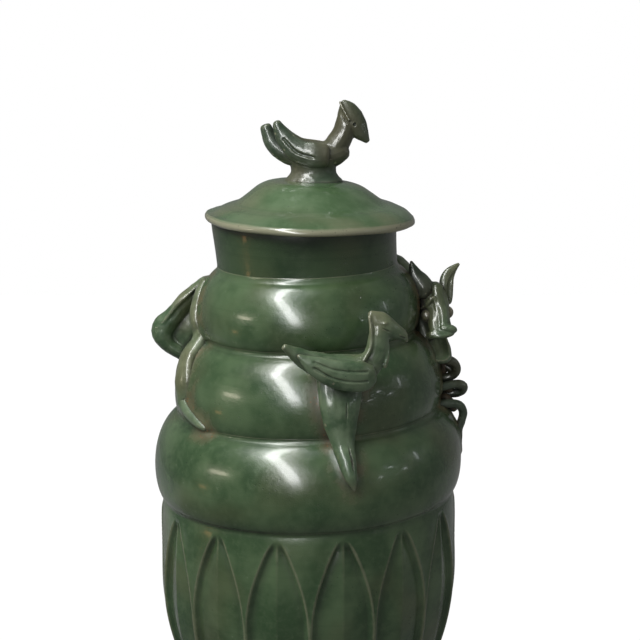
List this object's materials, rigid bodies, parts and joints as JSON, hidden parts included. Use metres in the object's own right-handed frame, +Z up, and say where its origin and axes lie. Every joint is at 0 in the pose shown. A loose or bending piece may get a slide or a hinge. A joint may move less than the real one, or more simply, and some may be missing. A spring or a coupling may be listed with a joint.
{
  "type": "lidded ceramic jar",
  "caption": "Tiered celadon jar with carved petals, applied bird and dragon, and a loose domed lid with a bird knob.",
  "frame": {"origin": "centre of the foot, on the surface that the jar stands on", "axes": "+Z up along the jar's turning axis, -Y towards the front with the perched bird, +X towards the dragon's head"},
  "size_m": [0.1554, 0.1535, 0.3039],
  "materials": {
    "jar_glaze": "glossy dark olive-green celadon glaze, darker where it pools, with fine pits",
    "lid_glaze": "glossy grey-green celadon glaze, paler and browner on edges",
    "figure_glaze": "glossy green celadon glaze over hand-modelled clay, thin and buff on ridges",
    "bare_clay": "unglazed fired stoneware, matt brown"
  },
  "bodies": {
    "jar": {"foot_ring": "bare_clay", "lower_body": "jar_glaze", "lower_tier": "jar_glaze", "middle_tier": "jar_glaze", "upper_tier": "jar_glaze", "neck_collar": "jar_glaze", "perched_bird_body": "figure_glaze", "perched_bird_near_wing": "figure_glaze", "perched_bird_far_wing": "figure_glaze", "perched_bird_tail_drop": "figure_glaze", "dragon_head": "figure_glaze", "dragon_lower_jaw": "figure_glaze", "dragon_left_horn": "figure_glaze", "dragon_right_ear": "figure_glaze", "dragon_left_eye": "figure_glaze", "dragon_right_eye": "figure_glaze", "dragon_body": "figure_glaze", "dragon_tail": "figure_glaze", "dragon_back_leg": "figure_glaze", "dragon_hind_leg": "figure_glaze", "dragon_foreleg": "figure_glaze", "dragon_forepaw": "figure_glaze", "beard_scroll_upper": "figure_glaze", "beard_scroll_middle": "figure_glaze", "beard_scroll_lower": "figure_glaze"},
    "lid": {"lid_dome": "lid_glaze", "lid_flange": "bare_clay", "finial_pedestal": "lid_glaze", "finial_bird_body": "figure_glaze", "finial_bird_near_wing": "figure_glaze", "finial_bird_far_wing": "figure_glaze"}
  },
  "joints": [
    {"name": "lid_lift", "type": "slide", "parent": "jar", "child": "lid", "axis": [0, 0, 1], "range_m": [0, 0.06]}
  ]
}
